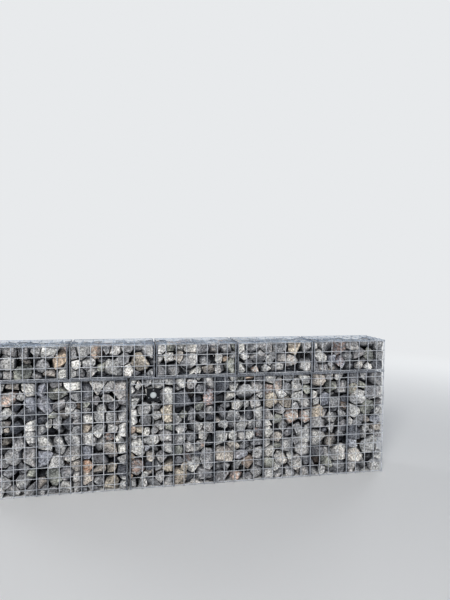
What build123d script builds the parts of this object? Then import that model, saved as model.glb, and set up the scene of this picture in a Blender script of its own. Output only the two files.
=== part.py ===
"""A gabion wall: two courses of welded mesh baskets filled with stone, with a small square lamp.

X runs along the wall, Y from its front face to its back, Z up from the ground, in millimetres.
The origin is on the ground, in the middle of the whole footprint, lamp included.
"""

from build123d import *
import os

# Welded mesh
wire = 4.5
mesh_pitch = 76.2

# Lower course: a long basket on the right and a short one on the left
long_cells = 26
short_cells = 13
lower_rows = 10.5
seam_cell = 88.0
depth_cells = 4
stub_length = 12.0
basket_seam = 18.0
long_partitions = (4, 8, 13, 18, 22)
short_partitions = (5, 9)

# Upper course: a row of short low baskets of one length
upper_count = 5
upper_rows = 3
upper_seam = 14.0
upper_full_cells = 6

# Of a mesh that is buried in the wall, one wire in so many is modelled
buried_step = 3

# Square lamp on the front mesh
lamp_side = 94.0
lamp_depth = 22.0
lamp_corner_radius = 4.0
lamp_edge_chamfer = 1.5
lamp_cells_in = 2
lamp_rows_down = 1.5
lens_diameter = 46.0
lens_thickness = 4.0
lens_dome = 2.5
lens_clearance = 0.3
screw_circle_radius = 38.0
screw_head_diameter = 7.0
screw_head_height = 2.6
screw_pocket_depth = 1.8
screw_shank_diameter = 3.5
screw_shank_length = 9.0
screw_clearance = 0.2

# Sizes that follow from these
layer_pair = 2 * wire
long_length = (long_cells - 1) * mesh_pitch + seam_cell + wire
short_length = (short_cells - 1) * mesh_pitch + seam_cell + wire
wall_length = long_length + basket_seam + short_length
upper_length = (wall_length - (upper_count - 1) * upper_seam) / upper_count
thickness = depth_cells * mesh_pitch + wire
lower_height = lower_rows * mesh_pitch + wire / 2 + stub_length
upper_floor = lower_height + layer_pair
upper_height = upper_rows * mesh_pitch + layer_pair
wall_height = upper_floor + upper_height + layer_pair
lamp_reach = lamp_depth + lens_dome
front = (lamp_reach - thickness) / 2
back = front + thickness
wall_right = wall_length / 2
wall_left = -wall_right
long_left = wall_right - long_length

# The space between the front and the back mesh
inner_front = front + layer_pair
inner_back = back - layer_pair

os.makedirs("parts", exist_ok=True)


def finish(name, piece):
    """Labels a finished piece and writes its file."""
    piece.part.label = name
    export_step(piece.part, f"parts/{name}.step")


def welded_mesh(plane, layer, upright_at, upright_span, rail_at, rail_span):
    """A welded panel: uprights on the plane, rails welded across them in the next layer."""
    upright_middle = sum(upright_span) / 2
    rail_middle = sum(rail_span) / 2
    with BuildPart() as panel:
        with BuildSketch(plane):
            with Locations(*[(at, upright_middle) for at in upright_at]):
                Rectangle(wire, upright_span[1] - upright_span[0])
        extrude(amount=layer)
        with BuildSketch(plane.offset(layer)):
            with Locations(*[(rail_middle, at) for at in rail_at]):
                Rectangle(rail_span[1] - rail_span[0], wire)
        extrude(amount=layer)
    return panel


def evenly(first, count):
    """Wire places one mesh pitch apart."""
    return [first + step * mesh_pitch for step in range(count)]


def cross_rows():
    """Places of a lid's long wires, from the front edge to the back edge."""
    return evenly(front + wire / 2, depth_cells + 1)


def inner_rows():
    """The same places with the outer two moved in beside the standing meshes."""
    return [inner_front + wire / 2, *cross_rows()[1:-1], inner_back - wire / 2]


def sparse(places):
    """Every third wire and the last one, for a mesh that is buried in the wall."""
    kept = places[::buried_step]
    return kept if kept[-1] == places[-1] else [*kept, places[-1]]


def standing_mesh(side, left, right, upright_at, upright_span, rail_at):
    """The front or the back mesh of one basket."""
    plane = Plane.XZ.offset(-side)
    inward = -wire if side == front else wire
    return welded_mesh(plane, inward, upright_at, upright_span, rail_at, (left, right))


def end_mesh(outer, inward, upright_at, upright_span, rail_at):
    """A mesh across the end of a basket, between its front and its back mesh."""
    plane = Plane.YZ.offset(outer)
    return welded_mesh(plane, inward, upright_at, upright_span, rail_at, (inner_front, inner_back))


def lid_mesh(floor, left, right, cross_at, row_at):
    """A mesh lying on a basket: cross wires on its standing meshes, long wires over them."""
    return welded_mesh(Plane.XY.offset(floor), wire, cross_at, (front, back), row_at, (left, right))


def base_mesh(floor, left, right, cross_at, row_at):
    """A mesh lying inside the foot of a basket's standing meshes."""
    cross_span = (front + wire, back - wire)
    row_span = (left + layer_pair, right - layer_pair)
    return welded_mesh(Plane.XY.offset(floor), wire, cross_at, cross_span, row_at, row_span)


def base_cross_wires(left, right, upright_at):
    """Places of a base's cross wires: at the uprights, with the end ones inside the end meshes."""
    edge_inset = layer_pair + wire / 2
    return [left + edge_inset, *upright_at[1:-1], right - edge_inset]


def stone_blocks(edges, floor, top):
    """The mass of stone in each compartment, between pairs of edges along the wall."""
    with BuildPart() as blocks:
        for low, high in edges:
            with BuildSketch(Plane.XY.offset(floor)):
                with Locations(((low + high) / 2, (inner_front + inner_back) / 2)):
                    Rectangle(high - low, inner_back - inner_front)
            extrude(amount=top - floor)
    return blocks


def lower_uprights(left, cells, seam_on_left):
    """Uprights of a lower basket, where the cell beside the seam is wider than the others."""
    first = left + wire / 2
    if seam_on_left:
        return [first, *evenly(first + seam_cell, cells)]
    whole = evenly(first, cells)
    return [*whole, whole[-1] + seam_cell]


def lower_basket(name, left, cells, partition_cells, rail_at, outer_end, outer_inward):
    """One basket of the lower course, whose partitions and seam end are buried meshes."""
    seam_on_left = outer_inward < 0
    uprights = lower_uprights(left, cells, seam_on_left)
    right = uprights[-1] + wire / 2
    height_span = (0, lower_height)
    for side, label in ((front, "front"), (back, "back")):
        finish(f"{name}_{label}_mesh", standing_mesh(side, left, right, uprights, height_span, rail_at))
    finish(f"{name}_end_mesh", end_mesh(outer_end, outer_inward, inner_rows(), height_span, rail_at))
    finish(f"{name}_lid_mesh", lid_mesh(lower_height, left, right, uprights, sparse(cross_rows())))

    base_cross = base_cross_wires(left, right, uprights)
    finish(f"{name}_base_mesh", base_mesh(0, left, right, base_cross, inner_rows()))

    # Partitions stand on the base. The seam end stands on the ground as the outer end does.
    partition_at = [uprights[cell] for cell in partition_cells]
    partition_span = (layer_pair, lower_height)
    partition_rails = sparse([layer_pair + wire / 2, *rail_at[1:]])
    seam_end = left if seam_on_left else right
    buried_uprights = sparse(inner_rows())
    with BuildPart() as partitions:
        for at in partition_at:
            add(end_mesh(at - wire, wire, buried_uprights, partition_span, partition_rails).part)
        add(end_mesh(seam_end, -outer_inward, buried_uprights, height_span, sparse(rail_at)).part)
    finish(f"{name}_partitions", partitions)

    starts = [left + layer_pair, *[at + wire for at in partition_at]]
    ends = [*[at - wire for at in partition_at], right - layer_pair]
    finish(f"{name}_stone_fill", stone_blocks(zip(starts, ends), layer_pair, lower_height))


def upper_uprights(left):
    """Uprights of an upper basket: full cells in the middle and a narrower one at each end."""
    first_full = left + (upper_length - upper_full_cells * mesh_pitch) / 2
    full = evenly(first_full, upper_full_cells + 1)
    return [left + wire / 2, *full, left + upper_length - wire / 2]


# Lower course. The long basket has its part cell at the top, the short one at the ground.
top_rail = lower_height - wire / 2
bottom_rail = layer_pair - wire / 2
whole_rows = int(lower_rows)
lowest_full_rail = top_rail - whole_rows * mesh_pitch
long_rails = [*evenly(stub_length, whole_rows + 1), top_rail]
short_rails = [bottom_rail, *evenly(lowest_full_rail, whole_rows + 1)]
lower_basket("lower_right", long_left, long_cells, long_partitions, long_rails, wall_right, -wire)
lower_basket("lower_left", wall_left, short_cells, short_partitions, short_rails, wall_left, wire)

# Upper course, from left to right
upper_span = (upper_floor, upper_floor + upper_height)
upper_rails = evenly(upper_floor + bottom_rail, upper_rows + 1)
lid_floor = upper_floor + upper_height
upper_lefts = [wall_left + number * (upper_length + upper_seam) for number in range(upper_count)]
for number, left in enumerate(upper_lefts, start=1):
    name = f"upper_{number}"
    right = left + upper_length
    uprights = upper_uprights(left)
    for side, label in ((front, "front"), (back, "back")):
        panel = standing_mesh(side, left, right, uprights, upper_span, upper_rails)
        finish(f"{name}_{label}_mesh", panel)
    finish(f"{name}_lid_mesh", lid_mesh(lid_floor, left, right, uprights, cross_rows()))
    block = [(left + layer_pair, right - layer_pair)]
    finish(f"{name}_stone_fill", stone_blocks(block, upper_floor + layer_pair, lid_floor))

finish("upper_left_end_mesh", end_mesh(wall_left, wire, inner_rows(), upper_span, upper_rails))
finish("upper_right_end_mesh", end_mesh(wall_right, -wire, inner_rows(), upper_span, upper_rails))

# Ends that face the seams, two in each seam
buried_uprights = sparse(inner_rows())
with BuildPart() as upper_seam_ends:
    for left in upper_lefts[1:]:
        add(end_mesh(left, wire, buried_uprights, upper_span, sparse(upper_rails)).part)
        neighbour_right = left - upper_seam
        add(end_mesh(neighbour_right, -wire, buried_uprights, upper_span, sparse(upper_rails)).part)
finish("upper_seam_ends", upper_seam_ends)

# Bases of the upper baskets, lying on the lids below
with BuildPart() as upper_bases:
    for left in upper_lefts:
        right = left + upper_length
        base_cross = sparse(base_cross_wires(left, right, upper_uprights(left)))
        add(base_mesh(upper_floor, left, right, base_cross, sparse(inner_rows())).part)
finish("upper_base_meshes", upper_bases)

# Lamp, screwed to the face of the front mesh over a crossing of two wires
lamp_x = lower_uprights(long_left, long_cells, True)[lamp_cells_in]
lamp_z = top_rail - lamp_rows_down * mesh_pitch
lamp_back = Plane(origin=(lamp_x, front, lamp_z), x_dir=(1, 0, 0), z_dir=(0, -1, 0))
lamp_face = lamp_back.offset(lamp_depth)

with BuildPart() as lamp_housing:
    with BuildSketch(lamp_back):
        RectangleRounded(lamp_side, lamp_side, lamp_corner_radius)
    extrude(amount=lamp_depth)
    face_edges = lamp_housing.faces().sort_by(Axis.Y)[0].edges()
    chamfer(face_edges, lamp_edge_chamfer)
    with BuildSketch(lamp_face):
        Circle(lens_diameter / 2 + lens_clearance)
    extrude(amount=-lens_thickness, mode=Mode.SUBTRACT)
    with BuildSketch(lamp_face):
        with PolarLocations(screw_circle_radius, 3, start_angle=90):
            Circle(screw_head_diameter / 2 + screw_clearance)
    extrude(amount=-screw_pocket_depth, mode=Mode.SUBTRACT)
    with BuildSketch(lamp_face):
        with PolarLocations(screw_circle_radius, 3, start_angle=90):
            Circle(screw_shank_diameter / 2 + screw_clearance)
    extrude(amount=-(screw_pocket_depth + screw_shank_length), mode=Mode.SUBTRACT)
finish("lamp_housing", lamp_housing)

# Frosted lens: a disc with a shallow dome, turned about the lamp's axis
lens_axis = Axis(lamp_back.origin, lamp_back.z_dir)
lens_section = Plane(origin=lamp_face.offset(-lens_thickness).origin, x_dir=(1, 0, 0), z_dir=(0, 0, 1))
with BuildPart() as lamp_lens:
    with BuildSketch(lens_section):
        with BuildLine():
            rim = (lens_diameter / 2, -lens_thickness)
            crown = (0, -lens_thickness - lens_dome)
            Polyline(crown, (0, 0), (lens_diameter / 2, 0), rim)
            TangentArc(crown, rim, tangent=(1, 0))
        make_face()
    revolve(axis=lens_axis)
finish("lamp_lens", lamp_lens)

with BuildPart() as lamp_screws:
    pocket_floor = lamp_face.offset(-screw_pocket_depth)
    with BuildSketch(pocket_floor):
        with PolarLocations(screw_circle_radius, 3, start_angle=90):
            Circle(screw_head_diameter / 2)
    extrude(amount=screw_head_height)
    with BuildSketch(pocket_floor):
        with PolarLocations(screw_circle_radius, 3, start_angle=90):
            Circle(screw_shank_diameter / 2)
    extrude(amount=-screw_shank_length)
finish("lamp_screws", lamp_screws)

print("wall length", round(wall_length, 1), "thickness", round(thickness, 1), "height", round(wall_height, 1))
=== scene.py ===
import itertools
import math

import bpy
import numpy as np
from mathutils import Matrix, Vector


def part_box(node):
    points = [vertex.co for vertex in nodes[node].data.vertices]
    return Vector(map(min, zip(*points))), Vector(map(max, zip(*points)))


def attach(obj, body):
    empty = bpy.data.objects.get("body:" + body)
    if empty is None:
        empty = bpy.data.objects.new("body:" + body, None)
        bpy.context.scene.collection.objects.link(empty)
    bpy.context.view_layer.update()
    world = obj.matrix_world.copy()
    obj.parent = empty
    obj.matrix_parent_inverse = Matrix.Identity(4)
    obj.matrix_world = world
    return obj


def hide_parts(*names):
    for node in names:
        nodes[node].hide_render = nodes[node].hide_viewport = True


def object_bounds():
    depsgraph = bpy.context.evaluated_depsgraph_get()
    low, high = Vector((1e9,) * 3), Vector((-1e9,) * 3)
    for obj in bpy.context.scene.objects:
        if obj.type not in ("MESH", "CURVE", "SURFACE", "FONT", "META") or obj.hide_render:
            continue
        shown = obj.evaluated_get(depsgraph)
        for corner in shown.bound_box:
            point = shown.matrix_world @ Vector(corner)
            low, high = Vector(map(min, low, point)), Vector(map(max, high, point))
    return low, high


# The looks of a gabion wall: packed stones, round welded wires and a small square lamp.
# Lengths are in metres. X runs along the wall, Y from its front to its back, Z up.

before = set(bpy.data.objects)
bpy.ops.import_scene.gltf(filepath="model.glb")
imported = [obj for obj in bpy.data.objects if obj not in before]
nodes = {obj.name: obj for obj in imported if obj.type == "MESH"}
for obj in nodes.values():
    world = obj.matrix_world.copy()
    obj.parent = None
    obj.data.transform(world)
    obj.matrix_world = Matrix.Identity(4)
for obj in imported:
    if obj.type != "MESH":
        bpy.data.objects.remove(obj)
cad_low, cad_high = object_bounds()
X, Y, Z = 0, 1, 2
lower_baskets = ["lower_left", "lower_right"]
upper_baskets = [f"upper_{number}" for number in range(1, 6)]

# What is closer than end_reach to an end of the wall or of a basket belongs to that end
end_reach = 0.02
same_place = 1e-4
same_layer = 1e-5
tiny = 1e-6
never_zero = 1e-9
seed_count = 1 << 30

# Camera, fitted to the wires of both courses. Angles are in degrees.
frame_long_side = 600
focal_pixels = 485
sensor_size = 36
camera_at = Vector((-0.491, -3.673, 1.539))
camera_yaw = 11.176
camera_pitch = 2.438
camera_roll = -0.515
camera_reach = 200

# Stage: a pale floor that fades into the background between two distances
floor_half = 30
floor_roughness = 0.9
floor_fade_start = 2.2
floor_fade_end = 8.0
sky_stops = [(0.0, (0.43, 0.42, 0.415, 1)), (0.25, (0.375, 0.375, 0.38, 1)), (1.0, (0.085, 0.11, 0.155, 1))]

# Welded wires, in an outer and an inner layer
wire_radius = 0.00225
mesh_depth = 4 * wire_radius
weld_sink = 0.0007
wire_sides = 8
buried_sides = 6
wire_step = 0.0381

# Waves are a sum of sines, whose speeds are in radians per metre
wire_wave = 0.0007
wire_bulge = 0.0016
wire_wave_seed = 9
wire_bulge_seed = 5
wire_waves = {"count": 5, "slowest": 2.0, "fastest": 14.0}

# Tones are shares of light, painted into the wires' colours as painted shade. A cast is what red, green and
# blue gain in the painted shade, and a loss is what they lose at the top of the wall, as a painted bluish
# sky light. The joint is where the two courses meet, and a seam is between two baskets of a course.
# A shade comes on between two distances, which are written as a pair.
# Painted shade on the wires deep inside the wall
wire_dusk = (0.008, 0.040)
wire_dusk_tone = 0.26
wire_dusk_power = 0.7
wire_dusk_cast = np.array([-0.07, 0.0, 0.12])
# Painted shade at the joint, at the seams and beside the partitions
joint_drop = 0.013
joint_shade_span = (0.020, 0.006)
joint_tone = 0.55
seam_shade_span = (0.020, 0.014)
seam_tone = 0.62
partition_shade_span = (0.008, 0.005)
partition_tone = 0.76
partition_buried_tone = 0.50
# Painted bluish sky light on the wires at the top of the wall
lid_depth = 0.012
top_sky_loss = np.array([0.30, 0.17, 0.02])

# Rings that clip the two courses together on the front
ring_wire_radius = 0.0014
ring_radius = 0.0155
ring_depth = 0.003
ring_cells = 3
ring_shift = (0.3, 0.7)
ring_sides = 6
ring_steps = 20

# Lamp screws
screw_apart = 0.008
screw_sides = 24
screw_head = 0.0026
screw_rim = 0.0006
screw_rim_step = 0.0002
screw_socket = 0.0017
screw_socket_depth = 0.0014
screw_shank = 0.5
screw_sharp_angle = 30

# Stones: how many there are, and how large. Shapes are shares of a stone's own radius.
stone_seed = 31
stone_radius = 0.040
stone_spread = 0.34
smallest_radius = 0.018
largest_radius = 0.068
packed_share = 0.79
long_shape = (1.05, 1.45)
short_shape = (0.68, 0.92)

# Settling: the stones grow from a share of their size and push each other apart
settle_steps = 70
settle_start = 0.6
settle_growth = 0.6
settle_push = 0.32
wall_room = 0.74
end_pull = 0.14
pull_reach = (0.08, 0.0, 0.05)

# Cutting: each stone is cut by its neighbours, by chips and by the walls of its room
outer_frequency = 5
inner_frequency = 3
outer_reach = 1.5
deep_start = 0.070
neighbour_count = 21
neighbour_gap = (0.0006, 0.0048)
neighbour_tilt = 0.10
chip_count = 8
chip_depth = (0.62, 1.04)
end_fill = 1.1
end_flush = 0.4
top_flush = 0.4
wall_lean = np.array([0.09, 0.34, 0.28] * 2)
wall_sink = np.array([0.002, 0.020, 0.007] * 2)
least_distance = 0.006
snap_reach = 0.42
snap_shrink = 0.6
snap_rounds = 2
rough_waves = {"count": 6, "slowest": 60, "fastest": 190}
rough_share = 0.018
stone_sharp_angle = 26

# Room around the stones
lid_room = 0.002
mesh_room = 0.001
settled_gap = 0.010
seam_gap = (0.01, 0.06)
seam_slope = 0.06

# Light and shade painted into the stones' colours
stone_dusk = (0.006, 0.052)
dusk_tone = 0.12
dusk_power = 0.8
seam_dusk_tone = 0.8
seam_dusk_reach = 0.014
partition_shadow_tone = 0.2
partition_shadow_reach = 0.026
facet_shade = (0.66, 1.22)
# Lighter edges: partly chipped wear, partly painted highlight
edge_wear_and_highlight = 0.20
edge_start = 0.94
edge_width = 0.06
stone_tone = (0.785, 0.985)
cast_start = 1.05
stone_cast = np.array([-0.08, -0.02, 0.12])
palest_stone = 0.94

# Pattern of the stones, which each one's own number shifts, and turns by an angle about an axis
pattern_shift = (31.0, 17.0, 23.0)
pattern_turn = 12.0
pattern_axis = (0.5, 0.7, 0.4)
streak_stretch = (1.0, 1.0, 3.5)
rust_tint = (1.08, 0.73, 0.57, 1)
palest_colour = (0.93, 0.93, 0.92)


def srgb(red, green, blue, alpha=1.0):
    """The linear values of a colour that is written as 0 to 255."""
    levels = np.array([red, green, blue]) / 255
    linear = np.where(levels <= 0.04045, levels / 12.92, ((levels + 0.055) / 1.055) ** 2.4)
    return (*(float(level) for level in linear), alpha)


floor_colour = srgb(234, 235, 235)
backdrop_colour = srgb(232, 234, 236)


def new_object(name, data):
    """An object in the scene."""
    made = bpy.data.objects.new(name, data)
    bpy.context.scene.collection.objects.link(made)
    return made


def add_camera():
    """The photo's camera."""
    yaw, pitch, roll = (math.radians(angle) for angle in (camera_yaw, camera_pitch, camera_roll))
    forward = Vector((math.sin(yaw) * math.cos(pitch), math.cos(yaw) * math.cos(pitch), -math.sin(pitch)))
    level_right = Vector((math.cos(yaw), -math.sin(yaw), 0))
    level_down = forward.cross(level_right)
    right = math.cos(roll) * level_right + math.sin(roll) * level_down
    down = math.cos(roll) * level_down - math.sin(roll) * level_right
    camera = new_object("camera", bpy.data.cameras.new("camera"))
    camera.data.sensor_width = sensor_size
    camera.data.lens = focal_pixels / frame_long_side * sensor_size
    camera.data.clip_end = camera_reach
    turn = Matrix((right, -down, -forward)).transposed()
    camera.matrix_world = Matrix.Translation(camera_at) @ turn.to_4x4()
    bpy.context.scene.camera = camera


def new_material(name):
    """A material, its nodes, its shader and the place of a point in the object's own coordinates."""
    material = bpy.data.materials.new(name)
    material.use_nodes = True
    tree = material.node_tree
    tree.nodes.clear()
    output = tree.nodes.new("ShaderNodeOutputMaterial")
    shader = tree.nodes.new("ShaderNodeBsdfPrincipled")
    tree.links.new(shader.outputs["BSDF"], output.inputs["Surface"])
    place = tree.nodes.new("ShaderNodeTexCoord").outputs["Object"]
    return material, tree, shader, place


def set_inputs(tree, made, inputs):
    """Gives a shader node its input values or links."""
    for key, value in inputs.items():
        if isinstance(value, bpy.types.NodeSocket):
            tree.links.new(value, made.inputs[key])
        else:
            made.inputs[key].default_value = value


def node(tree, kind, inputs=None, **settings):
    """A shader node of a kind, with its settings and its inputs."""
    made = tree.nodes.new("ShaderNode" + kind)
    for key, value in settings.items():
        setattr(made, key, value)
    set_inputs(tree, made, inputs or {})
    return made


def math_node(tree, operation, first, second):
    """The result of one sum on two numbers or links."""
    return node(tree, "Math", {0: first, 1: second}, operation=operation).outputs[0]


def vector_node(tree, operation, inputs, output):
    """One output of a sum on vectors."""
    return node(tree, "VectorMath", inputs, operation=operation).outputs[output]


def ramp(tree, factor, stops):
    """A colour ramp: stops are pairs of a place and a colour or a grey."""
    made = node(tree, "ValToRGB", {"Fac": factor})
    elements = made.color_ramp.elements
    while len(elements) < len(stops):
        elements.new(0.5)
    for element, (place, colour) in zip(elements, stops):
        element.position = place
        element.color = colour if isinstance(colour, tuple) else (colour, colour, colour, 1)
    return made.outputs["Color"]


def mix(tree, blend, factor, first, second):
    """A colour mix of two colours or links."""
    inputs = {0: factor, 6: first, 7: second}
    return node(tree, "Mix", inputs, data_type="RGBA", blend_type=blend).outputs[2]


def multiplied(tree, first, second):
    """The product of two colours or links."""
    return mix(tree, "MULTIPLY", 1.0, first, second)


def noise(tree, vector, scale, detail=3.0, roughness=0.55, distortion=0.0):
    """A noise from 0 to 1 around 0.5, with so many features in a metre."""
    inputs = {"Scale": scale, "Detail": detail, "Roughness": roughness, "Distortion": distortion}
    return node(tree, "TexNoise", {"Vector": vector, **inputs}).outputs["Fac"]


def bump(tree, height, strength, distance, under=None):
    """A normal that follows a height, on top of another bump if one is given."""
    inputs = {"Height": height, "Strength": strength, "Distance": distance}
    if under is not None:
        inputs["Normal"] = under
    return node(tree, "Bump", inputs).outputs["Normal"]


def varied(tree, place, scale, lowest, highest):
    """A value that varies between two others, for a roughness."""
    return ramp(tree, noise(tree, place, scale), [(0.3, lowest), (0.7, highest)])


def seen_directly(tree):
    """1 for rays from the camera and for reflections, 0 for the light that falls on things."""
    path = node(tree, "LightPath")
    return math_node(tree, "MAXIMUM", path.outputs["Is Camera Ray"], path.outputs["Is Glossy Ray"])


def add_floor():
    """A pale floor that fades into the background where it is seen."""
    mesh = bpy.data.meshes.new("floor")
    signs = ((-1, -1), (1, -1), (1, 1), (-1, 1))
    mesh.from_pydata([(x * floor_half, y * floor_half, 0) for x, y in signs], [], [(0, 1, 2, 3)])
    floor = new_object("floor", mesh)
    material, tree, shader, place = new_material("floor")
    set_inputs(tree, shader, {"Base Color": floor_colour, "Roughness": floor_roughness})
    away = vector_node(tree, "LENGTH", {0: place}, "Value")
    distances = {"Value": away, "From Min": floor_fade_start, "From Max": floor_fade_end}
    fade = node(tree, "MapRange", distances, interpolation_type="SMOOTHSTEP").outputs[0]
    share = math_node(tree, "MULTIPLY", fade, seen_directly(tree))
    sweep = node(tree, "Emission", {"Color": backdrop_colour, "Strength": 1.0}).outputs[0]
    blended = node(tree, "MixShader", {0: share, 1: shader.outputs["BSDF"], 2: sweep})
    tree.links.new(blended.outputs[0], tree.nodes["Material Output"].inputs["Surface"])
    mesh.materials.append(material)


def add_sky():
    """A soft sky that lights the wall, and a pale background in its place where it is seen."""
    world = bpy.data.worlds.new("world")
    bpy.context.scene.world = world
    world.use_nodes = True
    tree = world.node_tree
    tree.nodes.clear()
    direction = node(tree, "TexCoord").outputs["Generated"]
    upward = node(tree, "SeparateXYZ", {0: direction}).outputs["Z"]
    light = node(tree, "Background", {"Color": ramp(tree, upward, sky_stops), "Strength": 1.0})
    backdrop = node(tree, "Background", {"Color": backdrop_colour, "Strength": 1.0})
    choice = {0: seen_directly(tree), 1: light.outputs[0], 2: backdrop.outputs[0]}
    chosen = node(tree, "MixShader", choice)
    output = node(tree, "OutputWorld")
    tree.links.new(chosen.outputs[0], output.inputs["Surface"])


def add_light(name, at, aim, size, power, colour):
    """A soft square light of so many watts, turned towards a point."""
    data = bpy.data.lights.new(name, "AREA")
    data.size = size
    data.energy = power
    data.color = colour
    light = new_object(name, data)
    light.location = at
    light.visible_camera = False
    light.rotation_euler = (Vector(aim) - Vector(at)).to_track_quat("-Z", "Y").to_euler()
    return light


def add_lights():
    """The key light from the front left, a weaker one from the right and two from behind."""
    middle = (0.0, 0.0, 0.5)
    add_light("key", (-4.4, -9.4, 6.6), middle, size=3.2, power=895, colour=(1.0, 0.975, 0.945))
    add_light("fill", (7.0, -6.0, 3.0), (0.2, 0.0, 0.5), size=4.0, power=150, colour=(0.97, 0.98, 1.0))
    for name, side in (("back_left", -1), ("back_right", 1)):
        at = (7.4 * side, 6.4, 2.0)
        light = add_light(name, at, middle, size=3.5, power=330, colour=(0.96, 0.98, 1.0))
        light.visible_glossy = False


def add_piece(name, points, faces, material, replaced, tones=None):
    """A mesh piece on the wall that stands for CAD nodes."""
    mesh = bpy.data.meshes.new(name)
    mesh.from_pydata(points.tolist(), [], faces)
    if tones is not None:
        mesh.attributes.new("tone", "FLOAT_COLOR", "POINT").data.foreach_set("color", tones.ravel())
    mesh.materials.append(material)
    mesh.shade_smooth()
    piece = new_object(name, mesh)
    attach(piece, "root")
    if replaced:
        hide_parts(*replaced)
    return piece


def corner_points(name):
    """The corner points of a CAD node."""
    mesh = nodes[name].data
    flat = np.empty(len(mesh.vertices) * 3, np.float32)
    mesh.vertices.foreach_get("co", flat)
    return flat.reshape(-1, 3).astype(float)


def node_box(name):
    """The lowest and highest corner of a CAD node as arrays."""
    low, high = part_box(name)
    return np.array(low), np.array(high)


def distinct(values, apart=same_place):
    """Sorted values with those that lie together taken once."""
    ordered = np.sort(values)
    return ordered[np.concatenate(([True], np.diff(ordered) > apart))]


def bar_places(name, axis, across, side):
    """Where the bars of a CAD panel lie along an axis, in its layer on one side of another axis."""
    points = corner_points(name)
    edge = points[:, across].max() if side > 0 else points[:, across].min()
    edges = distinct(points[abs(points[:, across] - edge) < same_layer, axis])
    return (edges[0::2] + edges[1::2]) / 2


def partition_places(basket):
    """The lowest X of each mesh in a basket's partitions node."""
    return distinct(corner_points(f"{basket}_partitions")[:, X], end_reach)


def seam_places(baskets):
    """The X of the middle of each seam in a row of baskets."""
    return [
        (node_box(f"{left}_front_mesh")[1][X] + node_box(f"{right}_front_mesh")[0][X]) / 2
        for left, right in zip(baskets, baskets[1:])
    ]


def side_depth(points, box, axis, side):
    """How far points lie inside a box from its low or high side on an axis."""
    low, high = box
    return points[..., axis] - low[axis] if side < 0 else high[axis] - points[..., axis]


def rising(values, start, end):
    """0 up to where values reach the start, then up to 1 at the end."""
    return np.clip((values - start) / (end - start), 0, 1)


def closeness(distances, span):
    """1 where distances are 0, falling to 0 where they come to a span."""
    return np.clip(1 - abs(distances) / span, 0, 1)


def dimmed(share, tone):
    """Full light where the share is 0, and the tone's where it is 1."""
    return 1 - (1 - tone) * share


def waves(points, seed, count, slowest, fastest):
    """A smooth field from -1 to 1 over points: a few sine waves in seeded directions."""
    draw = np.random.default_rng(seed)
    total = np.zeros(len(points))
    for _ in range(count):
        direction = draw.normal(size=3)
        direction *= draw.uniform(slowest, fastest) / np.linalg.norm(direction)
        total += np.sin(points @ direction + draw.uniform(0, 2 * math.pi))
    return total / count


def ring_angles(sides):
    """The angles of the corners of a polygon."""
    return np.arange(sides) * 2 * math.pi / sides


def tube_faces(count, sides):
    """The faces of a closed tube of rings."""
    faces = []
    for step in range(count - 1):
        base = step * sides
        for side in range(sides):
            following = (side + 1) % sides
            faces.append((base + side, base + following, base + sides + following, base + sides + side))
    faces.append(tuple(range(sides))[::-1])
    faces.append(tuple(range((count - 1) * sides, count * sides)))
    return faces


def joined(parts):
    """Several meshes as one list of points and one of faces."""
    points, faces, start = [], [], 0
    for part_points, part_faces in parts:
        points.append(part_points)
        faces.extend(tuple(corner + start for corner in face) for face in part_faces)
        start += len(part_points)
    return np.concatenate(points), faces


# Wires

joint_height = node_box("lower_right_lid_mesh")[1][Z]
lower_seams = seam_places(lower_baskets)
upper_seams = seam_places(upper_baskets)


def bar(start, end, inward, sides, box):
    """A round wire between two points, a little wavy, pushed inward and never out of its box."""
    length = np.linalg.norm(end - start)
    count = max(2, round(length / wire_step)) + 1
    line = start + np.linspace(0, 1, count)[:, None] * (end - start)
    sideways = np.cross((end - start) / length, inward)
    push = wire_bulge * (1 + waves(line, wire_bulge_seed, **wire_waves))[:, None] / 2 * inward
    line = line + push + wire_wave * waves(line, wire_wave_seed, **wire_waves)[:, None] * sideways
    turn = ring_angles(sides)
    ring = wire_radius * (np.cos(turn)[:, None] * inward + np.sin(turn)[:, None] * sideways)
    points = (line[:, None, :] + ring[None, :, :]).reshape(-1, 3)
    return np.clip(points, *box), tube_faces(count, sides)


def panel(box, inward_axis, inward, first_axis, first_at, second_at, sides):
    """The wires of a welded mesh that fills a box, with its outer layer away from the inward side.

    The first wires lie in the outer layer along the first axis, and the second ones are welded across
    them. Each set is given by the places of its wires.
    """
    low, high = box
    second_axis = 3 - inward_axis - first_axis
    outer = low[inward_axis] if inward > 0 else high[inward_axis]
    push = np.zeros(3)
    push[inward_axis] = inward
    layers = (
        (first_axis, second_axis, first_at, outer + inward * wire_radius),
        (second_axis, first_axis, second_at, outer + inward * (3 * wire_radius - weld_sink)),
    )
    bars = []
    for along, across, places, depth in layers:
        for at in places:
            ends = np.zeros((2, 3))
            ends[:, inward_axis] = depth
            ends[:, along] = (low[along], high[along])
            ends[:, across] = at
            bars.append(bar(ends[0], ends[1], push, sides, box))
    return bars


def standing_bars(name):
    """A front or back mesh: uprights outside, rails inside."""
    side = -1 if name.endswith("front_mesh") else 1
    uprights = bar_places(name, X, Y, side)
    rails = bar_places(name, Z, Y, -side)
    return panel(node_box(name), Y, -side, Z, uprights, rails, wire_sides)


def cross_bars(outer, inward, front, end, span, sides):
    """A mesh across the wall at one X, with the rails of the front mesh and the uprights of an end."""
    low, high = node_box(end)
    low[X], high[X] = sorted((outer, outer + inward * mesh_depth))
    low[Z], high[Z] = span
    rails = [at for at in bar_places(front, Z, Y, 1) if span[0] < at < span[1]]
    end_side = 1 if end.endswith("right_end_mesh") else -1
    uprights = bar_places(end, Y, X, end_side)
    return panel((low, high), X, inward, Z, uprights, rails, sides)


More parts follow.
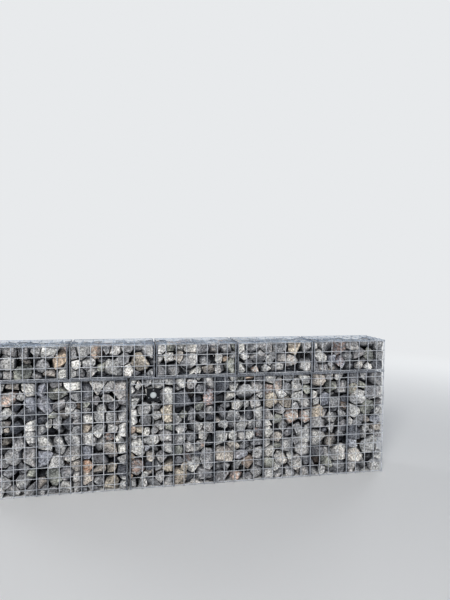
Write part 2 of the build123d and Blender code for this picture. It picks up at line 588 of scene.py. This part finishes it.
def flat_bars(box, front, rows, sides):
    """A lid or a base: cross wires below, in line with the front's uprights, and long wires over them."""
    low, high = box
    cross = bar_places(front, X, Y, -1)
    inset = low[X] - node_box(front)[0][X]
    if inset > wire_radius:
        cross = np.clip(cross, low[X] + wire_radius, high[X] - wire_radius)
    return panel(box, Z, 1, Y, cross, rows, sides)


def partition_bars(basket, end_sign):
    """The partitions and the end that faces the seam, each with all its wires."""
    front, end = f"{basket}_front_mesh", f"{basket}_end_mesh"
    low, high = node_box(f"{basket}_partitions")
    front_low, front_high = node_box(front)
    seam = front_low[X] if end_sign > 0 else front_high[X]
    bars = []
    for place in partition_places(basket):
        if abs(place - seam) < end_reach:
            outer, inward, bottom = seam, end_sign, low[Z]
        else:
            outer, inward, bottom = place, 1, low[Z] + mesh_depth
        bars.extend(cross_bars(outer, inward, front, end, (bottom, high[Z]), buried_sides))
    return bars


def meeting_shade(points):
    """Shares of light for points of wires: less where baskets meet and at the partitions, as painted shade.
    """
    is_upper = points[:, Z] > joint_height
    # Painted shade along the joint, the seams and the partitions
    from_joint = abs(points[:, Z] - joint_height + joint_drop)
    shares = dimmed(rising(from_joint, *joint_shade_span), joint_tone)
    for seams, is_here in ((lower_seams, ~is_upper), (upper_seams, is_upper)):
        for seam in seams:
            from_seam = abs(points[:, X] - seam)
            shares *= dimmed(rising(from_seam, *seam_shade_span) * is_here, seam_tone)
    for basket in lower_baskets:
        low, high = node_box(f"{basket}_front_mesh")
        back_low, _ = node_box(f"{basket}_back_mesh")
        is_buried = (points[:, Y] > high[Y]) & (points[:, Y] < back_low[Y])
        tone = np.where(is_buried, partition_buried_tone, partition_tone)
        for place in partition_places(basket):
            if low[X] + end_reach < place < high[X] - end_reach:
                from_middle = abs(points[:, X] - place - mesh_depth / 2)
                shares *= dimmed(rising(from_middle, *partition_shade_span) * ~is_upper, tone)
    return shares


def wire_tones(points):
    """Shares of light for points of wires, as painted shade: full on the outside of the wall, little inside
    it.
    """
    low, high = np.array(cad_low), np.array(cad_high)
    low[Y] = node_box("lower_right_front_mesh")[0][Y]
    high[Y] = node_box("lower_right_back_mesh")[1][Y]
    open_sides = ((X, -1), (X, 1), (Y, -1), (Y, 1), (Z, 1))
    depth = np.min([side_depth(points, (low, high), *side) for side in open_sides], axis=0)
    # Painted shade: darker the deeper a point lies inside the wall
    dusk = rising(depth, *wire_dusk)
    meeting = meeting_shade(points)
    shares = dimmed(dusk ** wire_dusk_power, wire_dusk_tone) * meeting
    # Painted sky light: near the top of the wall the wires lose red and green and look bluish
    lid = np.clip((points[:, Z] - high[Z]) / lid_depth + 1, 0, 1)
    cast = 1 + np.maximum(dusk, 1 - meeting)[:, None] * wire_dusk_cast
    cast *= 1 - lid[:, None] * top_sky_loss
    return np.concatenate([shares[:, None] * cast, np.ones((len(points), 1))], 1).astype(np.float32)


def add_wire_piece(name, bars, material, replaced):
    """Several wires as one piece, with their tones of painted shade."""
    points, faces = joined(bars)
    add_piece(name, points, faces, material, replaced, wire_tones(points))


def add_meshes(basket, material, others):
    """A basket's front and back meshes and its other ones, each as a piece."""
    standing = {label: standing_bars(f"{basket}_{label}_mesh") for label in ("front", "back")}
    for label, bars in {**standing, **others}.items():
        add_wire_piece(f"{basket}_{label}_wires", bars, material, [f"{basket}_{label}_mesh"])


def add_lower_wires(material, lid_rows, base_rows):
    """The meshes of the two lower baskets, whose lids and bases are buried."""
    for basket, end_sign in zip(lower_baskets, (-1, 1)):
        front, end = f"{basket}_front_mesh", f"{basket}_end_mesh"
        low, high = node_box(end)
        outer = high[X] if end_sign > 0 else low[X]
        add_meshes(basket, material, {
            "end": cross_bars(outer, -end_sign, front, end, (low[Z], high[Z]), wire_sides),
            "lid": flat_bars(node_box(f"{basket}_lid_mesh"), front, lid_rows, buried_sides),
            "base": flat_bars(node_box(f"{basket}_base_mesh"), front, base_rows, buried_sides),
        })
        partitions = partition_bars(basket, end_sign)
        add_wire_piece(f"{basket}_partition_wires", partitions, material, [f"{basket}_partitions"])


def add_upper_wires(material, lid_rows, base_rows):
    """The meshes of the upper baskets. All ends at their seams are one piece, and so are all bases."""
    seam_bars, base_bars = [], []
    for basket in upper_baskets:
        front = f"{basket}_front_mesh"
        low, high = node_box(front)
        lid = flat_bars(node_box(f"{basket}_lid_mesh"), front, lid_rows, wire_sides)
        add_meshes(basket, material, {"lid": lid})
        for side, outer, inward in (("left", low[X], 1), ("right", high[X], -1)):
            end = f"upper_{side}_end_mesh"
            end_low, end_high = node_box(end)
            at_wall_end = min(abs(end_low[X] - outer), abs(end_high[X] - outer)) < end_reach
            sides = wire_sides if at_wall_end else buried_sides
            bars = cross_bars(outer, inward, front, end, (low[Z], high[Z]), sides)
            if at_wall_end:
                add_wire_piece(f"upper_{side}_end_wires", bars, material, [end])
            else:
                seam_bars.extend(bars)
        base_low, base_high = node_box("upper_base_meshes")
        base_low[X] = low[X] + mesh_depth
        base_high[X] = high[X] - mesh_depth
        base_bars.extend(flat_bars((base_low, base_high), front, base_rows, buried_sides))
    add_wire_piece("upper_seam_end_wires", seam_bars, material, ["upper_seam_ends"])
    add_wire_piece("upper_base_wires", base_bars, material, ["upper_base_meshes"])


def add_wires(material):
    """Round wires in place of all meshes. All lids share their rows of long wires, and so do all bases."""
    lid_rows = bar_places("upper_1_lid_mesh", Y, Z, 1)
    base_rows = bar_places("lower_right_base_mesh", Y, Z, 1)
    add_lower_wires(material, lid_rows, base_rows)
    add_upper_wires(material, lid_rows, base_rows)


def clip_ring(middle):
    """A clip of thin wire bent round in the YZ plane, with its ends meeting at the back."""
    turn = np.linspace(0, 2 * math.pi, ring_steps)
    out = np.stack([np.zeros(ring_steps), np.cos(turn), np.sin(turn)], 1)
    angle = ring_angles(ring_sides)[None, :, None]
    across = np.cos(angle) * out[:, None] + np.sin(angle) * np.array([1.0, 0, 0])
    points = np.array(middle) + ring_radius * out[:, None] + ring_wire_radius * across
    return points.reshape(-1, 3), tube_faces(ring_steps, ring_sides)


def add_rings(material):
    """The rings along the joint of the two courses, one in so many cells, between the wires."""
    draw = np.random.default_rng(stone_seed)
    depth = node_box("lower_right_front_mesh")[0][Y] + ring_depth
    rings = []
    for basket in lower_baskets:
        uprights = bar_places(f"{basket}_front_mesh", X, Y, -1)
        for start, end in zip(uprights[1:-1:ring_cells], uprights[2::ring_cells]):
            place = start + draw.uniform(*ring_shift) * (end - start)
            rings.append(clip_ring((place, depth, joint_height)))
    add_wire_piece("clip_rings", rings, material, [])


def wire_material():
    """Galvanised steel: pale bluish grey with a dull mottle and darker grime, dimmed by the painted shade in
    its points' tones.
    """
    material, tree, shader, place = new_material("galvanised_wire")
    mottle = noise(tree, place, 90, detail=4, roughness=0.6)
    tints = [(0.3, srgb(160, 166, 176)), (0.5, srgb(204, 209, 216)), (0.72, srgb(235, 237, 241))]
    grime = ramp(tree, noise(tree, place, 9, detail=5, roughness=0.6), [(0.46, 0.0), (0.70, 0.6)])
    worn = mix(tree, "MIX", grime, ramp(tree, mottle, tints), srgb(117, 122, 130))
    tone = node(tree, "Attribute", attribute_name="tone").outputs["Color"]
    set_inputs(tree, shader, {
        "Base Color": multiplied(tree, worn, tone),
        "Metallic": 0.12,
        "Specular IOR Level": 0.12,
        "Roughness": varied(tree, place, 160, 0.56, 0.74),
        "Normal": bump(tree, noise(tree, place, 500), strength=0.25, distance=0.0004),
    })
    return material


# Stones

# Shares of the stones that have each colour
palette = [
    (24, (180, 180, 179)),
    (21, (160, 161, 162)),
    (12, (146, 147, 149)),
    (6, (124, 126, 130)),
    (3, (98, 101, 107)),
    (13, (194, 194, 191)),
    (8, (210, 209, 204)),
    (6, (228, 227, 222)),
    (5, (170, 172, 163)),
    (6, (184, 178, 170)),
    (4, (172, 175, 182)),
    (3, (196, 187, 172)),
    (2, (198, 180, 164)),
    (1, (212, 192, 170)),
]
palette_shares = np.array([share for share, _ in palette], float)
palette_shares = palette_shares / palette_shares.sum()
palette_tones = np.array([srgb(*colour)[:3] for _, colour in palette])

# The walls of a stone's room, as directions: the low sides on X, Y and Z, then the high ones
walls = np.concatenate([-np.eye(3), np.eye(3)])
left_wall, right_wall, top_wall = 0, 3, 5


def ball(frequency):
    """Unit directions and triangles of an icosahedron with each edge divided into equal parts."""
    golden = (1 + math.sqrt(5)) / 2
    edge_length = 2
    corners = []
    for one in (-1, 1):
        for two in (-golden, golden):
            corners.extend(((0, one, two), (one, two, 0), (two, 0, one)))
    corners = np.array(corners, float)
    base_faces = []
    for a, b, c in itertools.combinations(range(len(corners)), 3):
        trio = corners[[a, b, c]]
        if all(abs(np.linalg.norm(trio[i] - trio[i - 1]) - edge_length) < tiny for i in range(3)):
            outward = np.dot(np.cross(trio[1] - trio[0], trio[2] - trio[0]), trio.sum(0)) > 0
            base_faces.append((a, b, c) if outward else (a, c, b))
    index, points, faces = {}, [], []

    def point_of(place):
        key = tuple(np.round(place, 6))
        if key not in index:
            index[key] = len(points)
            points.append(place / np.linalg.norm(place))
        return index[key]

    for trio in base_faces:
        first, second, third = corners[list(trio)]
        down, across = second - first, third - first
        rows = []
        for row in range(frequency + 1):
            starts = [first + down * (row - step) / frequency for step in range(row + 1)]
            rows.append([point_of(start + across * step / frequency) for step, start in enumerate(starts)])
        for row in range(frequency):
            for step in range(row + 1):
                faces.append((rows[row][step], rows[row + 1][step], rows[row + 1][step + 1]))
                if step < row:
                    faces.append((rows[row][step], rows[row + 1][step + 1], rows[row][step + 1]))
    return np.array(points), np.array(faces)


def unit(vectors):
    """Vectors with a length of 1."""
    return vectors / np.linalg.norm(vectors, axis=1)[:, None]


def random_turns(draw, count):
    """Random rotation matrices."""
    axes, _ = np.linalg.qr(draw.normal(size=(count, 3, 3)))
    axes[:, :, 0] *= np.linalg.det(axes)[:, None]
    return axes


def reach(stones, which, directions):
    """How far each stone's ellipsoid reaches in a direction."""
    local = np.einsum("...ij,...i->...j", stones["turn"][which], directions)
    return stones["radius"][which] * np.sqrt(((local * stones["shape"][which]) ** 2).sum(-1))


def stone_sizes(draw, room):
    """Radii of stones that together take their share of a room's volume."""
    radii = []
    volume = room * packed_share
    while volume > 0:
        radius = stone_radius * math.exp(draw.normal() * stone_spread)
        radii.append(float(np.clip(radius, smallest_radius, largest_radius)))
        volume -= 4 / 3 * math.pi * radii[-1] ** 3
    return np.array(radii)


def settle(draw, low, high, pulls):
    """Ellipsoids that grow and push each other apart until they fill a box. Sides in pulls draw them."""
    full = stone_sizes(draw, np.prod(high - low))
    count = len(full)
    everyone = np.arange(count)
    pairs = np.repeat(everyone, count).reshape(count, count)
    long_way = draw.uniform(*long_shape, count)
    short_way = draw.uniform(*short_shape, count)
    at = draw.uniform(low, high, (count, 3))
    shape = np.stack([long_way, np.ones(count), short_way], 1)
    stones = {"at": at, "radius": full, "turn": random_turns(draw, count), "shape": shape}
    for step in range(settle_steps):
        stones["radius"] = full * min(1.0, settle_start + settle_growth * step / settle_steps)
        gap = at[:, None] - at[None]
        apart = np.linalg.norm(gap, axis=2) + np.eye(count) + never_zero
        direction = gap / apart[:, :, None]
        mine = reach(stones, pairs, direction)
        overlap = np.maximum(mine + mine.T - apart, 0) * (1 - np.eye(count))
        at += settle_push * (overlap[:, :, None] * direction).sum(1)
        for axis, side in pulls:
            to_side = side_depth(at, (low, high), axis, side)
            at[:, axis] += side * end_pull * np.where(to_side < pull_reach[axis], to_side, 0)
        for axis in range(3):
            normal = np.zeros((count, 3))
            normal[:, axis] = 1
            room = wall_room * reach(stones, everyone, normal)
            at[:, axis] = np.clip(at[:, axis], low[axis] + room, high[axis] - room)
    stones["radius"] = full
    return stones


def stone_planes(draw, stones, index, room, cuts):
    """Planes that cut one stone to shape, as normals and distances from its middle."""
    low, high = room
    at, radius = stones["at"][index], stones["radius"][index]
    gap = stones["at"] - at
    apart = np.linalg.norm(gap, axis=1)
    near = np.argsort(apart)[1:neighbour_count + 1]
    direction = gap[near] / apart[near][:, None]
    mine = reach(stones, np.full(len(near), index), direction)
    theirs = reach(stones, near, -direction)
    distance = apart[near] * mine / (mine + theirs) - draw.uniform(*neighbour_gap, len(near))
    tilted = unit(direction + draw.normal(size=direction.shape) * neighbour_tilt)

    chips = unit(draw.normal(size=(chip_count, 3)))
    chipped = reach(stones, np.full(len(chips), index), chips) * draw.uniform(*chip_depth, len(chips))
    to_wall = np.concatenate([at - low, high - at]) - mesh_room
    for side in (left_wall, right_wall, top_wall):
        if to_wall[side] < radius:
            chipped *= 1 + end_fill * np.clip(chips @ walls[side], 0, 1)

    near_end = min(to_wall[left_wall], to_wall[right_wall]) < radius
    flush = np.full(len(walls), end_flush if near_end else 1.0)
    flush[top_wall] = min(flush[top_wall], top_flush)
    leaning = unit(walls + draw.normal(size=walls.shape) * (flush * wall_lean)[:, None])
    sunk = flush * draw.uniform(0, 1, len(walls)) * wall_sink

    planes = [
        (tilted, distance * (tilted * direction).sum(1)),
        (chips, chipped),
        (walls, to_wall),
        (leaning, (to_wall - sunk) * (leaning * walls).sum(1)),
    ]
    for normal, through in cuts:
        planes.append((normal[None], np.array([(through - at) @ normal - mesh_room])))
    normals = np.concatenate([some_normals for some_normals, _ in planes])
    distances = np.concatenate([some_distances for _, some_distances in planes])
    return normals, np.maximum(distances, least_distance)


def moved_to_edges(directions, slopes, snap):
    """Directions, with those that lie near an edge between two planes moved onto it."""
    order = np.argsort(-(directions @ slopes.T), axis=1)[:, :2]
    edge = slopes[order[:, 0]] - slopes[order[:, 1]]
    size = (edge ** 2).sum(1) + never_zero
    off = (edge * directions).sum(1)
    close = off / np.sqrt(size) < snap
    moved = unit(directions - (off / size)[:, None] * edge)
    return np.where(close[:, None], moved, directions)


def body_corners(slopes):
    """Directions of the corners of a body, where three of its planes meet."""
    trios = slopes[np.array(list(itertools.combinations(range(len(slopes)), 3)))]
    first, second, third = trios[:, 0], trios[:, 1], trios[:, 2]
    crossed = np.cross(second, third)
    volume = (first * crossed).sum(1)
    solid = abs(volume) > tiny * abs(slopes).max() ** 3
    meeting = (crossed + np.cross(third, first) + np.cross(first, second))[solid] / volume[solid][:, None]
    corners = meeting[(meeting @ slopes.T).max(1) < 1 + tiny]
    return unit(corners)


def carve(normals, distances, directions, snap):
    """Points of a ball moved onto the edges and corners of the body that the planes enclose.

    They come back as directions and lengths, with the facet that each lies on, and with a share that is
    1 on an edge and less away from it.
    """
    slopes = normals / distances[:, None]
    slopes = slopes[np.unique((directions @ slopes.T).argmax(1))]
    for _ in range(snap_rounds):
        directions = moved_to_edges(directions, slopes, snap)
        snap *= snap_shrink
    corners = body_corners(slopes)
    nearest = (corners @ directions.T).argmax(1)
    directions[nearest] = corners
    nearness = directions @ slopes.T
    best = np.sort(nearness, axis=1)[:, -2:]
    return directions, 1 / best[:, 1], nearness.argmax(1), best[:, 0] / best[:, 1]


def stone_colours(draw, points, facet_shades, facet, edge, place):
    """The colours of a stone's points, with painted shade and highlights, and with a random fourth value for
    its material.
    """
    # Painted shade: darker the deeper a point lies in the wall, and less dark near a seam
    depth = np.min([side_depth(points, place["box"], *side) for side in place["shown"]], axis=0)
    dusk = rising(depth, *stone_dusk)
    # Painted light and shade that differ by facet, and lighter edges that are partly wear and partly painted
    # highlight
    shade = facet_shades[facet] * (1 + edge_wear_and_highlight * np.clip((edge - edge_start) / edge_width, 0, 1))
    least = np.full(len(points), dusk_tone)
    for normal, middle in place["cuts"]:
        at_seam = closeness((points - middle) @ normal, seam_dusk_reach)
        least = np.maximum(least, seam_dusk_tone * at_seam)
    shade *= dimmed(dusk ** dusk_power, least)
    # Painted shadow beside each partition
    for mesh_at in place["partitions"]:
        at_mesh = closeness(points[:, X] - mesh_at, partition_shadow_reach)
        shade *= dimmed(at_mesh, partition_shadow_tone)
    tone = palette_tones[draw.choice(len(palette), p=palette_shares)] * draw.uniform(*stone_tone)
    # Painted shade also turns the colour bluish
    cast = 1 + np.clip(cast_start - shade, 0, 1)[:, None] * stone_cast
    painted = np.clip(tone * shade[:, None] * cast, 0, palest_stone)
    return np.concatenate([painted, np.full((len(points), 1), draw.random())], 1)


def one_stone(draw, stones, index, place, balls):
    """One stone of a compartment: its points, its triangles and the colours of its points."""
    box = place["box"]
    at, radius = stones["at"][index], stones["radius"][index]
    is_outer = min(side_depth(at, box, *side) for side in place["shown"]) < outer_reach * radius
    is_deep = min(side_depth(at, box, Y, side) for side in (-1, 1)) > deep_start
    room, cuts = (place["deep_box"], place["cuts"]) if is_deep else (box, [])
    normals, distances = stone_planes(draw, stones, index, room, cuts)
    frequency = outer_frequency if is_outer else inner_frequency
    directions, triangles = balls[frequency]
    turned = directions @ random_turns(draw, 1)[0].T
    turned, length, facet, edge = carve(normals, distances, turned, snap_reach / frequency)
    points = turned * length[:, None]
    rough = waves(points, int(draw.integers(seed_count)), **rough_waves)
    points *= 1 - rough_share * (1 + rough)[:, None]
    points = np.clip(points + at, room[0] + mesh_room, room[1] - mesh_room)
    facet_shades = draw.uniform(*facet_shade, len(normals))
    return points, triangles, stone_colours(draw, points, facet_shades, facet, edge, place)


def stones_in(draw, place, balls):
    """The stones of one compartment as one mesh, with the colours of its points."""
    pulls = [side for side in place["shown"] if side[0] != Y]
    stones = settle(draw, *place["deep_box"], pulls)
    made = [one_stone(draw, stones, index, place, balls) for index in range(len(stones["radius"]))]
    starts = np.cumsum([0] + [len(points) for points, _, _ in made[:-1]])
    faces = np.concatenate([triangles + start for (_, triangles, _), start in zip(made, starts)])
    points = np.concatenate([points for points, _, _ in made])
    colours = np.concatenate([colours for _, _, colours in made])
    return points, faces.tolist(), colours.astype(np.float32)


def widened(basket, low, high):
    """The room of a compartment's deep stones, which poke through the meshes they lie against, and cuts.

    A cut is a plane in the middle of a seam, as a normal and a point, where the stones of two baskets meet.
    """
    deep_low, deep_high = low.copy(), high.copy()
    cuts = []
    course = lower_baskets if basket in lower_baskets else upper_baskets
    for other in course:
        other_low, other_high = node_box(f"{other}_stone_fill")
        for sign, mine, theirs, deep in ((1, high, other_low, deep_high), (-1, low, other_high, deep_low)):
            gap = sign * (theirs[X] - mine[X])
            if seam_gap[0] < gap < seam_gap[1]:
                normal = sign * np.array([1.0, seam_slope, 0])
                middle = np.array([mine[X] + sign * gap / 2, 0, 0])
                cuts.append((normal / np.linalg.norm(normal), middle))
                deep[X] += sign * (gap / 2 + seam_slope * (high[Y] - low[Y]) / 2)
    if basket in upper_baskets:
        deep_low[Z] = joint_height + mesh_room
    else:
        deep_low[Z] = cad_low[Z] + mesh_room
        deep_high[Z] = joint_height - mesh_room
    return (deep_low, deep_high), cuts


def compartments(basket):
    """The compartments of a basket's stone fill, from left to right, each with what shapes its stones.

    box is the room of its outer stones, and deep_box and cuts are those of its deep ones. shown lists the
    sides that can be seen, as pairs of an axis and a sign, and partitions the X of each partition beside it.
    """
    points = corner_points(f"{basket}_stone_fill")
    edges = distinct(points[:, X])
    places = []
    for left, right in zip(edges[0::2], edges[1::2]):
        low, high = points.min(0), points.max(0)
        low[X], high[X] = left, right
        shown = [(Y, -1), (Y, 1)]
        if basket in upper_baskets:
            shown.append((Z, 1))
            high[Z] -= lid_room
        else:
            low[Z] = cad_low[Z] + mesh_room
            high[Z] -= settled_gap
        if left - cad_low[X] < end_reach:
            shown.append((X, -1))
        if cad_high[X] - right < end_reach:
            shown.append((X, 1))
        deep_box, cuts = widened(basket, low, high)
        places.append({
            "box": (low, high),
            "deep_box": deep_box,
            "cuts": cuts,
            "shown": shown,
            "partitions": [at for at in (left, right) if edges[0] < at < edges[-1]],
        })
    return places


def add_stones(material):
    """Each compartment's stones as one piece."""
    balls = {frequency: ball(frequency) for frequency in (outer_frequency, inner_frequency)}
    draw = np.random.default_rng(stone_seed)
    for basket in lower_baskets + upper_baskets:
        places = compartments(basket)
        for number, place in enumerate(places, start=1):
            points, faces, tones = stones_in(draw, place, balls)
            name = f"{basket}_stones_{number}" if len(places) > 1 else f"{basket}_stones"
            piece = add_piece(name, points, faces, material, [f"{basket}_stone_fill"], tones)
            piece.data.set_sharp_from_angle(angle=math.radians(stone_sharp_angle))


def stone_material():
    """Broken stone: each stone's own tone and painted shade from its points, with patches, streaks, grain
    and rusty spots.

    The tone's alpha is a random number for each stone. It shifts and turns the pattern, so that no two
    stones share it, and the stones with the highest numbers are the rusty ones.
    """
    material, tree, shader, place = new_material("stone")
    tone = node(tree, "Attribute", attribute_name="tone")
    own = tone.outputs["Alpha"]
    shift = vector_node(tree, "SCALE", {0: pattern_shift, "Scale": own}, 0)
    angle = math_node(tree, "MULTIPLY", own, pattern_turn)
    turning = {"Vector": place, "Axis": pattern_axis, "Angle": angle}
    turned = node(tree, "VectorRotate", turning).outputs[0]
    place = vector_node(tree, "ADD", {0: turned, 1: shift}, 0)
    streaked = vector_node(tree, "MULTIPLY", {0: place, 1: streak_stretch}, 0)

    patches = noise(tree, place, 24, detail=5, roughness=0.62, distortion=0.5)
    streaks = noise(tree, streaked, 40, detail=5, roughness=0.58, distortion=0.8)
    grain = noise(tree, place, 82, detail=5, roughness=0.62)
    colour = tone.outputs["Color"]
    patterns = ((patches, 0.14, 0.74, 1.24), (streaks, 0.12, 0.60, 1.34), (grain, 0.12, 0.44, 1.56))
    for pattern, width, dark, light in patterns:
        shades = ramp(tree, pattern, [(0.5 - width, dark), (0.5, 1.0), (0.5 + width, light)])
        colour = multiplied(tree, colour, shades)

    stained = ramp(tree, own, [(0.93, 0.0), (0.96, 0.8)])
    faint = ramp(tree, own, [(0.0, 0.16), (0.5, 0.0)])
    spots = ramp(tree, noise(tree, place, 40, detail=4, roughness=0.6), [(0.45, 0.0), (0.55, 1.0)])
    rust = multiplied(tree, spots, mix(tree, "ADD", 1.0, stained, faint))
    colour = mix(tree, "MIX", rust, colour, multiplied(tree, colour, rust_tint))
    colour = vector_node(tree, "MINIMUM", {0: colour, 1: palest_colour}, 0)
    coarse = bump(tree, streaks, strength=0.40, distance=0.005)
    fine = bump(tree, grain, strength=0.5, distance=0.0015, under=coarse)
    set_inputs(tree, shader, {
        "Base Color": colour,
        "Roughness": 0.92,
        "Specular IOR Level": 0.10,
        "Normal": fine,
    })
    return material


# Lamp

def finish_node(name, material):
    """Gives a CAD node its own material."""
    nodes[name].data.materials.clear()
    nodes[name].data.materials.append(material)


def housing_material():
    """Satin black powder coat with a fine texture, and dust on what faces up."""
    material, tree, shader, place = new_material("lamp_black")
    mottle = noise(tree, place, 260, detail=4)
    coat = ramp(tree, mottle, [(0.3, srgb(11, 13, 17)), (0.7, srgb(21, 24, 30))])
    normal = node(tree, "NewGeometry").outputs["Normal"]
    facing = node(tree, "SeparateXYZ", {0: normal}).outputs["Z"]
    upper = ramp(tree, facing, [(0.3, 0.05), (0.9, 0.7)])
    specks = ramp(tree, noise(tree, place, 70, detail=5, roughness=0.65), [(0.40, 0.0), (0.66, 0.6)])
    fine = noise(tree, place, 1500, detail=2)
    set_inputs(tree, shader, {
        "Base Color": mix(tree, "MIX", multiplied(tree, upper, specks), coat, srgb(112, 112, 108)),
        "Roughness": varied(tree, place, 120, 0.46, 0.64),
        "Specular IOR Level": 0.14,
        "Normal": bump(tree, fine, strength=0.35, distance=0.0001),
    })
    return material


def lens_material():
    """Frosted plastic: faintly mottled, duller towards its rim, with a few dust specks."""
    material, tree, shader, place = new_material("frosted_lens")
    low, high = node_box("lamp_lens")
    middle = (low + high) / 2
    from_middle = vector_node(tree, "DISTANCE", {0: place, 1: tuple(middle)}, "Value")
    share = math_node(tree, "DIVIDE", from_middle, float(high[X] - low[X]) / 2)
    tints = [(0.0, srgb(196, 202, 203)), (0.72, srgb(184, 191, 193)), (0.95, srgb(138, 146, 150))]
    frost = ramp(tree, noise(tree, place, 150, detail=4), [(0.35, 0.90), (0.65, 1.05)])
    frosted = multiplied(tree, ramp(tree, share, tints), frost)
    specks = ramp(tree, noise(tree, place, 700, detail=2), [(0.66, 0.0), (0.72, 0.45)])
    set_inputs(tree, shader, {
        "Base Color": mix(tree, "MIX", specks, frosted, srgb(120, 118, 110)),
        "Roughness": varied(tree, place, 90, 0.32, 0.50),
        "Subsurface Weight": 0.15,
        "Subsurface Radius": (0.004, 0.004, 0.004),
    })
    return material


def screw_material():
    """Plain steel: finely mottled, with a darker stain here and there."""
    material, tree, shader, place = new_material("screw_steel")
    mottle = noise(tree, place, 900, detail=4)
    steel = ramp(tree, mottle, [(0.3, srgb(150, 154, 162)), (0.7, srgb(196, 200, 208))])
    stain = ramp(tree, noise(tree, place, 240, detail=4), [(0.52, 0.0), (0.70, 0.6)])
    set_inputs(tree, shader, {
        "Base Color": mix(tree, "MIX", stain, steel, srgb(78, 72, 68)),
        "Metallic": 0.4,
        "Roughness": varied(tree, place, 500, 0.34, 0.52),
    })
    return material


def screw(middle, radius, face, deep):
    """One screw along Y, as rings from the end of its shank over its head to the bottom of its socket."""
    turn = ring_angles(screw_sides)
    hexagon = screw_socket / np.cos((turn + math.pi / 6) % (math.pi / 3) - math.pi / 6)
    shank = screw_shank * radius
    outline = [
        (shank, deep),
        (shank, face + screw_head),
        (radius, face + screw_head),
        (radius, face + screw_rim),
        (radius - screw_rim_step, face + screw_rim_step),
        (radius - screw_rim, face),
        (hexagon, face),
        (hexagon, face + screw_socket_depth),
    ]
    rings = []
    for out, depth in outline:
        across = np.broadcast_to(out, screw_sides)
        ring_x = middle[X] + across * np.cos(turn)
        ring_z = middle[Z] + across * np.sin(turn)
        rings.append(np.stack([ring_x, np.full(screw_sides, depth), ring_z], 1))
    return np.concatenate(rings), tube_faces(len(rings), screw_sides)


def add_screws(material):
    """The lamp's screws: round heads with a rounded rim and a hexagon socket, on plain shanks."""
    points = corner_points("lamp_screws")
    face, deep = points[:, Y].min(), points[:, Y].max()
    heads = points[points[:, Y] < face + tiny]
    flat_heads = heads[:, [X, Z]]
    firsts = []
    for point in flat_heads:
        if all(np.linalg.norm(point - other) > screw_apart for other in firsts):
            firsts.append(point)
    screws = []
    for first in firsts:
        near = heads[np.linalg.norm(flat_heads - first, axis=1) < screw_apart]
        low, high = near.min(0), near.max(0)
        screws.append(screw((low + high) / 2, (high[X] - low[X]) / 2, face, deep))
    points, faces = joined(screws)
    piece = add_piece("socket_screws", points, faces, material, ["lamp_screws"])
    piece.data.set_sharp_from_angle(angle=math.radians(screw_sharp_angle))


bpy.context.scene.view_settings.view_transform = "Standard"
add_camera()
add_floor()
add_sky()
add_lights()
galvanised = wire_material()
add_wires(galvanised)
add_rings(galvanised)
add_stones(stone_material())
finish_node("lamp_housing", housing_material())
finish_node("lamp_lens", lens_material())
add_screws(screw_material())
